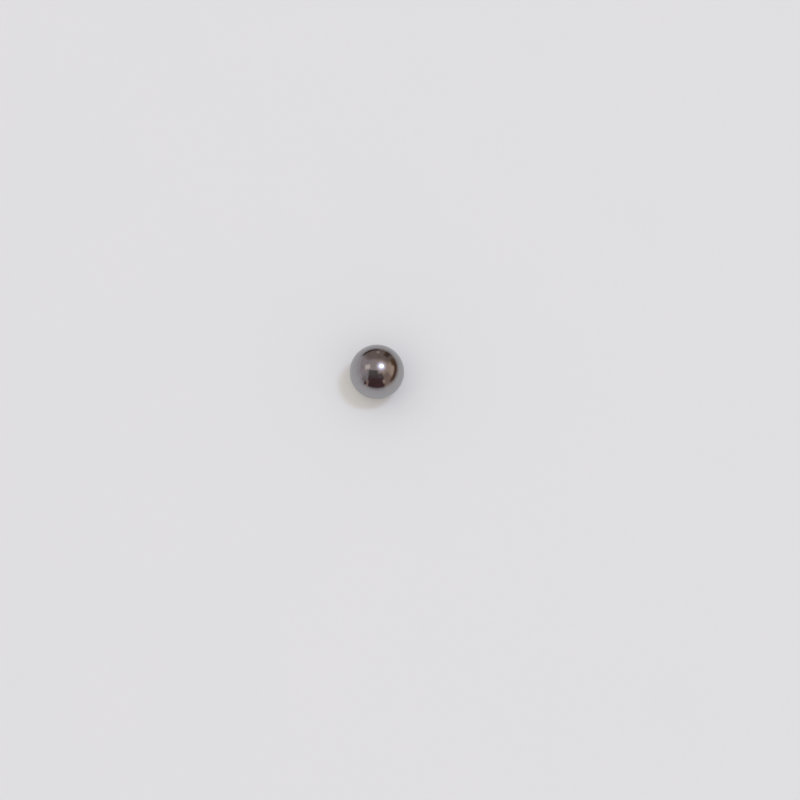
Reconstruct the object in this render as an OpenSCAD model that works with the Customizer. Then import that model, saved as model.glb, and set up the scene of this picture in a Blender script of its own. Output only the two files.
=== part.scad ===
// Loose steel ball: one solid piece, ground and lapped to a true sphere and polished bright.
// The origin is the centre of the ball and +Z is up. Lengths are in millimetres.

/* [Ball] */
// Diameter of the ball
ball_d = 6; // [1:0.5:50]
// Colour of the polished steel
steel_colour = "#8f8d8e"; // ["#8f8d8e", "#a9a9ab", "#75716f"]

/* [Hidden] */
// Facets around the ball where it is drawn as a mesh
$fn = 128;

// The whole ball, with no flat, hole or seam: its lowest point is the one point that it rests on
module steel_ball() {
    color(steel_colour)
        sphere(d = ball_d);
}

steel_ball();
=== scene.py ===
"""The looks of a loose polished steel ball, set on a plain pale floor in soft studio light."""

import math

import bpy
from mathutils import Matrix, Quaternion, Vector


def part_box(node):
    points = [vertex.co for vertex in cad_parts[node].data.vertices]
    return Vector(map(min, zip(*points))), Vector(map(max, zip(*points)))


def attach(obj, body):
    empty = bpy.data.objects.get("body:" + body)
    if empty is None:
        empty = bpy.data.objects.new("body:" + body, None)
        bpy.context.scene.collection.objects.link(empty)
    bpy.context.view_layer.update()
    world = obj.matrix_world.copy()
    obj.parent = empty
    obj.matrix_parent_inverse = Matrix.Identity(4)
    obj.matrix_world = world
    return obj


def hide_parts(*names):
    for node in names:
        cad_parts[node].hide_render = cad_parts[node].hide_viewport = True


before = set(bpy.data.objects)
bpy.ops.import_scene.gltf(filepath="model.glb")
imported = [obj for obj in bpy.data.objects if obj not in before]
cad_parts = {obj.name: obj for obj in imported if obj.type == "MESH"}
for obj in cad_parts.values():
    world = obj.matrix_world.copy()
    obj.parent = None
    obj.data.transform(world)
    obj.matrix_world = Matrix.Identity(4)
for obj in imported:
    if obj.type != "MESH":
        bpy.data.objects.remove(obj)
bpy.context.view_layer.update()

# Lengths are in metres and angles in degrees unless a name says otherwise
MM = 0.001
ball_low, ball_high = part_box("steel_ball")
BALL_CENTRE = Vector((0, 0, 0))
BALL_RADIUS = (ball_high.z - ball_low.z) / 2
FLOOR_HEIGHT = ball_low.z

# Places of the two colours and of the result on a Mix node that mixes colours
COLOUR_A = 6
COLOUR_B = 7
MIXED_COLOUR = 2

# Most of a noise texture lies between these two levels
NOISE_LOW = 0.3
NOISE_HIGH = 0.7


def linear(hex_colour):
    """Turns an sRGB hex colour into the linear colour that Blender's sockets take."""
    channels = [int(hex_colour[i:i + 2], 16) / 255 for i in (1, 3, 5)]
    straight = [c / 12.92 if c <= 0.04045 else ((c + 0.055) / 1.055) ** 2.4 for c in channels]
    return (*straight, 1.0)


def add(tree, kind, settings=None, inputs=None):
    """Adds a node, gives it its settings, and sets or links its inputs."""
    node = tree.nodes.new(kind)
    for name, value in (settings or {}).items():
        setattr(node, name, value)
    for key, value in (inputs or {}).items():
        if isinstance(value, bpy.types.NodeSocket):
            tree.links.new(value, node.inputs[key])
        else:
            node.inputs[key].default_value = value
    return node


def direction(heading, elevation):
    """Unit vector towards a heading, counted from +Y towards +X, and an elevation above the floor."""
    turn = math.radians(heading)
    rise = math.radians(elevation)
    return Vector((math.sin(turn) * math.cos(rise), math.cos(turn) * math.cos(rise), math.sin(rise)))


def new_material(name):
    """An empty material and its Principled shader."""
    material = bpy.data.materials.new(name)
    material.use_nodes = True
    tree = material.node_tree
    tree.nodes.clear()
    shader = add(tree, "ShaderNodeBsdfPrincipled")
    add(tree, "ShaderNodeOutputMaterial", inputs={"Surface": shader.outputs["BSDF"]})
    return material, tree, shader


# The steel: its colour where the polish is best, where it is haziest, and near the outline
STEEL_CLEAR = "#adacad"
STEEL_HAZY = "#a6a5a7"
STEEL_OUTLINE = "#f0f0f0"
ROUGHNESS_CLEAR = 0.04
ROUGHNESS_HAZY = 0.09
HAZE_SIZE = 1.3 * MM
# The lapping marks: axes of the circles, width of a line, length of an arc, depth and added roughness
LAPPING_AXES = (
    (0.36, 0.48, 0.80), (-0.80, 0.36, 0.48), (0.48, -0.80, 0.36), (0.60, 0.64, -0.48), (-0.28, 0.96, 0.0))
LAPPING_LINE = 0.045 * MM
LAPPING_ARC = 1.2 * MM
LAPPING_DEPTH = 0.00014 * MM
LAPPING_ROUGHNESS = 0.14
# Levels of the noise between which a line, or the stretch of it that shows, comes in
LINE_FROM = 0.64
LINE_FULL = 0.74
ARC_FROM = 0.48
ARC_FULL = 0.62
# Each axis breaks its circles by another stretch of the noise, this much further along
ARC_SHIFT = 3 * LAPPING_ARC


def lapped_bearing_steel():
    """Through-hardened bearing steel, ground, lapped and polished.

    The eye sees a neutral grey mirror. Lapping leaves faint arcs of circles about many axes,
    and the last polish leaves patches of slightly more haze. The real lines are finer than a
    hundredth of a millimetre, so they are drawn coarser here to show in a close view.
    """
    material, tree, shader = new_material("lapped_bearing_steel")
    place = add(tree, "ShaderNodeTexCoord").outputs["Object"]
    haze = add(tree, "ShaderNodeTexNoise", inputs={
        "Vector": place, "Scale": 1 / HAZE_SIZE, "Detail": 4.0, "Roughness": 0.6}).outputs["Fac"]
    lines = None
    for number, axis in enumerate(LAPPING_AXES):
        height = add(tree, "ShaderNodeVectorMath", {"operation": "DOT_PRODUCT"}, {0: place, 1: axis})
        circles = add(tree, "ShaderNodeTexNoise", {"noise_dimensions": "1D"}, {
            "W": height.outputs["Value"], "Scale": 1 / LAPPING_LINE, "Detail": 2.0, "Roughness": 0.7})
        fine = add(tree, "ShaderNodeMapRange", {"interpolation_type": "SMOOTHSTEP"}, {
            "Value": circles.outputs["Fac"], "From Min": LINE_FROM, "From Max": LINE_FULL})
        shifted = add(tree, "ShaderNodeVectorMath", {"operation": "ADD"}, {
            0: place, 1: (ARC_SHIFT * (number + 1), 0, 0)})
        broken = add(tree, "ShaderNodeTexNoise", inputs={
            "Vector": shifted.outputs["Vector"], "Scale": 1 / LAPPING_ARC, "Detail": 1.0})
        arcs = add(tree, "ShaderNodeMapRange", {"interpolation_type": "SMOOTHSTEP"}, {
            "Value": broken.outputs["Fac"], "From Min": ARC_FROM, "From Max": ARC_FULL})
        marks = add(tree, "ShaderNodeMath", {"operation": "MULTIPLY"}, {
            0: fine.outputs["Result"], 1: arcs.outputs["Result"]})
        if lines is None:
            lines = marks.outputs["Value"]
        else:
            lines = add(tree, "ShaderNodeMath", {"operation": "MAXIMUM"}, {
                0: lines, 1: marks.outputs["Value"]}).outputs["Value"]
    polish = add(tree, "ShaderNodeMapRange", inputs={
        "Value": haze, "From Min": NOISE_LOW, "From Max": NOISE_HIGH,
        "To Min": ROUGHNESS_CLEAR, "To Max": ROUGHNESS_HAZY})
    dulled = add(tree, "ShaderNodeMath", {"operation": "MULTIPLY_ADD"}, {
        0: lines, 1: LAPPING_ROUGHNESS, 2: polish.outputs["Result"]})
    tone = add(tree, "ShaderNodeMix", {"data_type": "RGBA"}, {
        "Factor": haze, COLOUR_A: linear(STEEL_CLEAR), COLOUR_B: linear(STEEL_HAZY)})
    relief = add(tree, "ShaderNodeBump", {"invert": True}, {
        "Height": lines, "Distance": LAPPING_DEPTH, "Strength": 1.0})
    shader.inputs["Metallic"].default_value = 1.0
    shader.inputs["Specular Tint"].default_value = linear(STEEL_OUTLINE)
    tree.links.new(tone.outputs[MIXED_COLOUR], shader.inputs["Base Color"])
    tree.links.new(dulled.outputs["Value"], shader.inputs["Roughness"])
    tree.links.new(relief.outputs["Normal"], shader.inputs["Normal"])
    return material


# The ball, as a grid of this many faces along each edge of a cube
FACES_PER_EDGE = 64


def ball_tree():
    """Geometry nodes for a ball: a cube's grid blown out onto the sphere, so that it has no poles."""
    tree = bpy.data.node_groups.new("round_ball", "GeometryNodeTree")
    for name, kind in (("Radius", "NodeSocketFloat"), ("Grid points", "NodeSocketInt"),
                       ("Centre", "NodeSocketVector"), ("Steel", "NodeSocketMaterial")):
        tree.interface.new_socket(name, in_out="INPUT", socket_type=kind)
    tree.interface.new_socket("Ball", in_out="OUTPUT", socket_type="NodeSocketGeometry")
    sizes = add(tree, "NodeGroupInput").outputs
    points = sizes["Grid points"]
    # The cube runs from -1 to 1, so an eighth of a turn at its edge spaces the faces evenly on the sphere
    cube = add(tree, "GeometryNodeMeshCube", inputs={
        "Size": (2, 2, 2), "Vertices X": points, "Vertices Y": points, "Vertices Z": points})
    angle = add(tree, "ShaderNodeVectorMath", {"operation": "SCALE"}, {
        0: add(tree, "GeometryNodeInputPosition").outputs["Position"], "Scale": math.pi / 4})
    even = add(tree, "ShaderNodeVectorMath", {"operation": "TANGENT"}, {0: angle.outputs["Vector"]})
    unit = add(tree, "ShaderNodeVectorMath", {"operation": "NORMALIZE"}, {0: even.outputs["Vector"]})
    place = add(tree, "ShaderNodeVectorMath", {"operation": "MULTIPLY_ADD"}, {
        0: unit.outputs["Vector"], 1: sizes["Radius"], 2: sizes["Centre"]})
    blown = add(tree, "GeometryNodeSetPosition", inputs={
        "Geometry": cube.outputs["Mesh"], "Position": place.outputs["Vector"]})
    smooth = add(tree, "GeometryNodeSetShadeSmooth", inputs={"Geometry": blown.outputs["Geometry"]})
    real = add(tree, "GeometryNodeRealizeInstances", inputs={"Geometry": smooth.outputs["Geometry"]})
    clad = add(tree, "GeometryNodeSetMaterial", inputs={
        "Geometry": real.outputs["Geometry"], "Material": sizes["Steel"]})
    add(tree, "NodeGroupOutput", inputs={"Ball": clad.outputs["Geometry"]})
    return tree


def make_ball():
    """The ball as one plain closed mesh in the place of the CAD solid."""
    ball = bpy.data.objects.new("lapped_ball", bpy.data.meshes.new("lapped_ball"))
    bpy.context.scene.collection.objects.link(ball)
    modifier = ball.modifiers.new("round_ball", "NODES")
    modifier.node_group = ball_tree()
    values = {"Radius": BALL_RADIUS, "Grid points": FACES_PER_EDGE + 1,
              "Centre": BALL_CENTRE, "Steel": lapped_bearing_steel()}
    for socket in modifier.node_group.interface.items_tree:
        if socket.in_out == "INPUT":
            modifier[socket.identifier] = values[socket.name]
    depsgraph = bpy.context.evaluated_depsgraph_get()
    mesh = bpy.data.meshes.new_from_object(ball.evaluated_get(depsgraph))
    ball.modifiers.clear()
    ball.data = mesh
    mesh.name = "lapped_ball"
    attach(ball, "root")
    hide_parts("steel_ball")


# The floor
FLOOR_WIDTH = 1.6
LAMINATE_WHITE = "#ecebec"
LAMINATE_MOTTLE = "#eaeaec"
LAMINATE_ROUGHNESS = 0.07
MOTTLE_SIZE = 14 * MM
GRAIN_SIZE = 0.6 * MM
GRAIN_DEPTH = 0.005 * MM
# Angles from straight above: the floor is matt up to the first and has its full gloss past the second
MATT_WITHIN = 35
GLOSS_BEYOND = 50
FULL_GLOSS = 0.5


def white_laminate():
    """White laminate, pressed with a fine grain.

    The eye sees an even white with a faint mottle. At a low angle it mirrors what stands on it,
    and the grain breaks that mirror image up. From above it is matt, so that the lamp doesn't
    shine back from it into the picture.
    """
    material, tree, shader = new_material("white_laminate")
    place = add(tree, "ShaderNodeTexCoord").outputs["Object"]
    mottle = add(tree, "ShaderNodeTexNoise", inputs={
        "Vector": place, "Scale": 1 / MOTTLE_SIZE, "Detail": 3.0}).outputs["Fac"]
    tone = add(tree, "ShaderNodeMix", {"data_type": "RGBA"}, {
        "Factor": mottle, COLOUR_A: linear(LAMINATE_WHITE), COLOUR_B: linear(LAMINATE_MOTTLE)})
    grain = add(tree, "ShaderNodeTexNoise", inputs={
        "Vector": place, "Scale": 1 / GRAIN_SIZE, "Detail": 2.0}).outputs["Fac"]
    relief = add(tree, "ShaderNodeBump", inputs={"Height": grain, "Distance": GRAIN_DEPTH, "Strength": 1.0})
    # With a blend of a half, Facing is 1 less the cosine of the angle from straight above
    slant = add(tree, "ShaderNodeLayerWeight", inputs={"Blend": 0.5}).outputs["Facing"]
    gloss = add(tree, "ShaderNodeMapRange", {"interpolation_type": "SMOOTHSTEP"}, {
        "Value": slant, "From Min": 1 - math.cos(math.radians(MATT_WITHIN)),
        "From Max": 1 - math.cos(math.radians(GLOSS_BEYOND)), "To Min": 0.0, "To Max": FULL_GLOSS})
    shader.inputs["Roughness"].default_value = LAMINATE_ROUGHNESS
    tree.links.new(tone.outputs[MIXED_COLOUR], shader.inputs["Base Color"])
    tree.links.new(gloss.outputs["Result"], shader.inputs["Specular IOR Level"])
    tree.links.new(relief.outputs["Normal"], shader.inputs["Normal"])
    return material


def make_floor():
    """One wide level sheet that the ball stands on."""
    half = FLOOR_WIDTH / 2
    outline = ((-half, -half), (half, -half), (half, half), (-half, half))
    mesh = bpy.data.meshes.new("floor")
    mesh.from_pydata([(x, y, FLOOR_HEIGHT) for x, y in outline], [], [(0, 1, 2, 3)])
    mesh.materials.append(white_laminate())
    floor = bpy.data.objects.new("floor", mesh)
    bpy.context.scene.collection.objects.link(floor)


# The lamp: where it hangs, the half angle that it fills seen from the ball, and the share of its radius
# that is evenly bright. A brightness of 1 is the picture's white
LAMP_DISTANCE = 2.5
LAMP_HEADING = 73.5
LAMP_ELEVATION = 69.6
LAMP_COLOUR = "#c6dbff"
LAMP_ANGLE = 8.2
LAMP_EVEN_SHARE = 0.2
LAMP_BRIGHTNESS = 24.6
# Place of the lamp's middle in its own coordinates, which run from 0 to 1 both ways, and how far its
# edge lies from there
LAMP_MIDDLE = (0.5, 0.5, 0)
LAMP_EDGE = 0.5


def make_lamp():
    """A round soft lamp overhead, even in the middle and fading to its edge."""
    toward = direction(LAMP_HEADING, LAMP_ELEVATION)
    radius = LAMP_DISTANCE * math.tan(math.radians(LAMP_ANGLE))
    area = math.pi * radius ** 2
    data = bpy.data.lights.new("lamp", "AREA")
    data.shape = "DISK"
    data.size = 2 * radius
    data.energy = LAMP_BRIGHTNESS * math.pi * area
    data.color = linear(LAMP_COLOUR)[:3]
    data.use_nodes = True
    tree = data.node_tree
    tree.nodes.clear()
    spot = add(tree, "ShaderNodeNewGeometry").outputs["Parametric"]
    from_middle = add(tree, "ShaderNodeVectorMath", {"operation": "DISTANCE"}, {0: spot, 1: LAMP_MIDDLE})
    fade = add(tree, "ShaderNodeMapRange", {"interpolation_type": "SMOOTHSTEP"}, {
        "Value": from_middle.outputs["Value"],
        "From Min": LAMP_EVEN_SHARE * LAMP_EDGE, "From Max": LAMP_EDGE, "To Min": 1.0, "To Max": 0.0})
    shine = add(tree, "ShaderNodeEmission", inputs={"Strength": fade.outputs["Result"]})
    add(tree, "ShaderNodeOutputLight", inputs={"Surface": shine.outputs["Emission"]})
    lamp = bpy.data.objects.new("lamp", data)
    lamp.location = BALL_CENTRE + toward * LAMP_DISTANCE
    lamp.rotation_mode = "QUATERNION"
    lamp.rotation_quaternion = (-toward).to_track_quat("-Z", "Y")
    bpy.context.scene.collection.objects.link(lamp)


# The walls: the left one's tone passes into the right one's between these two shares of the way across
LEFT_WALL = "#b6acae"
RIGHT_WALL = "#d0b8a8"
LEFT_WALL_ENDS = -0.6
RIGHT_WALL_STARTS = 0.7
# Faint clouds on the walls: their size where the dome's radius is 1, and how much they lighten and darken
CLOUD_SIZE = 0.5
CLOUD_DEPTH = 0.12
# Soft panels on the dome, each over those before it: heading and elevation of the middle, half width,
# half height and lean to the right, all in degrees seen from the ball, softness of the edge as a share of
# the half size, and the colour
STUDIO_PANELS = {
    "pale foot of the left wall": (275, 0, 48, 14, 0, 0.7, "#c8c2c6"),
    "far wall": (8, 18, 46, 38, 0, 0.42, "#8a7a74"),
    "pale spot on the far wall": (4, 18, 4, 7, 0, 0.6, "#b9aea8"),
    "dark foot of the far wall": (343, 0, 21, 8, 0, 0.35, "#564743"),
    "dark post at the far right": (31.5, 12.6, 8, 15, 0, 0.5, "#5a483f"),
    "dark patch on the right": (62, 14, 12, 11, 0, 0.5, "#715b46"),
    "dim wall at the near right": (135, 23, 22, 24, 0, 0.4, "#9d887e"),
    "low flag on the right": (88, 2, 40, 12, 0, 0.4, "#6b5040"),
    "dim wall at the near left": (231, 17, 11, 12, 0, 0.7, "#968c8c"),
    "low flag on the camera's side": (184, 25, 32.4, 33, 6, 0.14, "#584043"),
    "dim top of the low flag": (193, 51, 24, 9, 12, 0.7, "#625557"),
    "pale strip beside the low flag": (150, 21.5, 4, 8, 0, 0.6, "#c7aca2"),
    "tan strip beside the low flag": (217, 5, 3.4, 13, 0, 0.6, "#b39585"),
    "dim corner of the lens flag": (155, 50, 9, 9, 0, 0.5, "#716466"),
    "flag round the lens": (213.5, 62.5, 19.5, 10.5, 28, 0.28, "#6a6362"),
    "dark spot at the near left": (224, 1.5, 4.5, 9, 0, 0.5, "#4c393b"),
    "small pale card": (277, 51, 9, 10.5, 6, 0.4, "#ffefe5"),
}
# Power in the outline of a panel: 2 would make it an ellipse, and a high one makes nearly square corners
CORNER_POWER = 8
# A panel is left out where its direction and the ray's agree by less than this, beside it and behind
LEAST_AHEAD = 0.05
# The glow round the lamp, where a higher tightness makes it smaller
GLOW_HEADING = 76
GLOW_ELEVATION = 72.2
GLOW_COLOUR = "#d0d6f4"
GLOW_TIGHTNESS = 42
GLOW_BRIGHTNESS = 3.2
# The soft light on the floor, brightest from this direction
FILL_HEADING = 215
FILL_ELEVATION = -25
FILL_BRIGHTNESS = 1.07
FILL_FRONT = "#fff9ef"
FILL_BACK = "#cac7c4"


def panel_mask(tree, ray, heading, elevation, half_width, half_height, lean, soft):
    """Mask of one soft panel on the dome."""
    ahead = direction(heading, elevation)
    tilt = Quaternion(ahead, math.radians(lean))
    right = tilt @ direction(heading + 90, 0)
    up = right.cross(ahead)
    along = add(tree, "ShaderNodeVectorMath", {"operation": "DOT_PRODUCT"}, {
        0: ray, 1: ahead}).outputs["Value"]
    powers = []
    for axis, half in ((right, half_width), (up, half_height)):
        share = add(tree, "ShaderNodeVectorMath", {"operation": "DOT_PRODUCT"}, {
            0: ray, 1: axis / math.tan(math.radians(half))})
        slope = add(tree, "ShaderNodeMath", {"operation": "DIVIDE"}, {0: share.outputs["Value"], 1: along})
        powers.append(add(tree, "ShaderNodeMath", {"operation": "POWER"}, {
            0: slope.outputs["Value"], 1: CORNER_POWER}).outputs["Value"])
    total = add(tree, "ShaderNodeMath", {"operation": "ADD"}, {0: powers[0], 1: powers[1]})
    reach = add(tree, "ShaderNodeMath", {"operation": "POWER"}, {
        0: total.outputs["Value"], 1: 1 / CORNER_POWER})
    edge = add(tree, "ShaderNodeMapRange", {"interpolation_type": "SMOOTHSTEP"}, {
        "Value": reach.outputs["Value"], "From Min": 1 - soft, "From Max": 1 + soft,
        "To Min": 1.0, "To Max": 0.0})
    front = add(tree, "ShaderNodeMath", {"operation": "GREATER_THAN"}, {0: along, 1: LEAST_AHEAD})
    return add(tree, "ShaderNodeMath", {"operation": "MULTIPLY"}, {
        0: edge.outputs["Result"], 1: front.outputs["Value"]}).outputs["Value"]


def studio_walls(tree, ray):
    """Colour of the studio in each direction: dim warm walls with their panels, and the lamp's glow."""
    part = add(tree, "ShaderNodeSeparateXYZ", inputs={0: ray}).outputs
    across = add(tree, "ShaderNodeMapRange", {"interpolation_type": "SMOOTHSTEP"}, {
        "Value": part["X"], "From Min": LEFT_WALL_ENDS, "From Max": RIGHT_WALL_STARTS})
    tone = add(tree, "ShaderNodeMix", {"data_type": "RGBA"}, {
        "Factor": across.outputs["Result"], COLOUR_A: linear(LEFT_WALL), COLOUR_B: linear(RIGHT_WALL)})
    for *place, colour in STUDIO_PANELS.values():
        tone = add(tree, "ShaderNodeMix", {"data_type": "RGBA"}, {
            "Factor": panel_mask(tree, ray, *place),
            COLOUR_A: tone.outputs[MIXED_COLOUR], COLOUR_B: linear(colour)})
    clouds = add(tree, "ShaderNodeTexNoise", inputs={
        "Vector": ray, "Scale": 1 / CLOUD_SIZE, "Detail": 2.0}).outputs["Fac"]
    shade = add(tree, "ShaderNodeMapRange", inputs={
        "Value": clouds, "From Min": NOISE_LOW, "From Max": NOISE_HIGH,
        "To Min": 1 - CLOUD_DEPTH, "To Max": 1 + CLOUD_DEPTH})
    walls = add(tree, "ShaderNodeVectorMath", {"operation": "SCALE"}, {
        0: tone.outputs[MIXED_COLOUR], "Scale": shade.outputs["Result"]})
    near_lamp = add(tree, "ShaderNodeVectorMath", {"operation": "DOT_PRODUCT"}, {
        0: ray, 1: direction(GLOW_HEADING, GLOW_ELEVATION)})
    glow = add(tree, "ShaderNodeMath", {"operation": "POWER"}, {
        0: near_lamp.outputs["Value"], 1: GLOW_TIGHTNESS})
    return add(tree, "ShaderNodeVectorMath", {"operation": "MULTIPLY_ADD"}, {
        0: glow.outputs["Value"], 1: Vector(linear(GLOW_COLOUR)[:3]) * GLOW_BRIGHTNESS,
        2: walls.outputs["Vector"]}).outputs["Vector"]


def soft_fill(tree, ray):
    """Colour of the soft light all round, which passes evenly from the front's to the back's."""
    facing = add(tree, "ShaderNodeVectorMath", {"operation": "DOT_PRODUCT"}, {
        0: ray, 1: direction(FILL_HEADING, FILL_ELEVATION)})
    front = add(tree, "ShaderNodeMapRange", inputs={"Value": facing.outputs["Value"], "From Min": -1.0})
    tone = add(tree, "ShaderNodeMix", {"data_type": "RGBA"}, {
        "Factor": front.outputs["Result"], COLOUR_A: linear(FILL_BACK), COLOUR_B: linear(FILL_FRONT)})
    return add(tree, "ShaderNodeVectorMath", {"operation": "SCALE"}, {
        0: tone.outputs[MIXED_COLOUR], "Scale": FILL_BRIGHTNESS}).outputs["Vector"]


def make_surround():
    """The studio round the floor: dim warm walls and ceiling, with dark flags and one small pale card.

    The steel mirrors these. The floor is lit by a soft light from all round instead, brightest from
    the front left, which is never seen itself, so that the shadow stays pale.
    """
    world = bpy.data.worlds.new("studio")
    bpy.context.scene.world = world
    world.use_nodes = True
    tree = world.node_tree
    tree.nodes.clear()
    ray = add(tree, "ShaderNodeTexCoord").outputs["Generated"]
    path = add(tree, "ShaderNodeLightPath").outputs
    shiny = add(tree, "ShaderNodeMath", {"operation": "MAXIMUM"}, {
        0: path["Is Camera Ray"], 1: path["Is Glossy Ray"]})
    # The depth is a whole number, so this holds for a ray that no matt surface has scattered
    direct = add(tree, "ShaderNodeMath", {"operation": "LESS_THAN"}, {0: path["Diffuse Depth"], 1: 0.5})
    seen = add(tree, "ShaderNodeMath", {"operation": "MULTIPLY"}, {
        0: shiny.outputs["Value"], 1: direct.outputs["Value"]})
    light = add(tree, "ShaderNodeMix", {"data_type": "RGBA"}, {
        "Factor": seen.outputs["Value"],
        COLOUR_A: soft_fill(tree, ray), COLOUR_B: studio_walls(tree, ray)})
    sky = add(tree, "ShaderNodeBackground", inputs={"Color": light.outputs[MIXED_COLOUR]})
    add(tree, "ShaderNodeOutputWorld", inputs={"Surface": sky.outputs["Background"]})


# The camera: place of the ball in the picture, in pixels of the 800 by 800 frame, and the lens
PICTURE_WIDTH = 800
BALL_PIXEL_X = 376.9
BALL_PIXEL_Y = 371.8
BALL_PIXELS_ACROSS = 54.6
FOCAL_PIXELS = 1800
CAMERA_HEADING = 180
CAMERA_ELEVATION = 70
SENSOR_WIDTH_MM = 36
NEAREST_SEEN = 10 * MM
FURTHEST_SEEN = 10


def make_camera():
    """Camera at the photograph's viewing angle, aimed so that the ball falls on its own pixel."""
    data = bpy.data.cameras.new("camera")
    data.sensor_width = SENSOR_WIDTH_MM
    data.lens = FOCAL_PIXELS * SENSOR_WIDTH_MM / PICTURE_WIDTH
    data.clip_start = NEAREST_SEEN
    data.clip_end = FURTHEST_SEEN
    distance = BALL_RADIUS * math.hypot(1, 2 * FOCAL_PIXELS / BALL_PIXELS_ACROSS)
    back = direction(CAMERA_HEADING, CAMERA_ELEVATION)
    side = (BALL_PIXEL_X - PICTURE_WIDTH / 2) / FOCAL_PIXELS
    rise = (PICTURE_WIDTH / 2 - BALL_PIXEL_Y) / FOCAL_PIXELS
    aim_off = Vector((side, rise, -1)).rotation_difference(Vector((0, 0, -1)))
    camera = bpy.data.objects.new("camera", data)
    camera.location = BALL_CENTRE + back * distance
    camera.rotation_mode = "QUATERNION"
    camera.rotation_quaternion = (-back).to_track_quat("-Z", "Y") @ aim_off
    bpy.context.scene.collection.objects.link(camera)
    bpy.context.scene.camera = camera


make_camera()
make_ball()
make_floor()
make_surround()
make_lamp()
bpy.context.scene.view_settings.view_transform = "Standard"
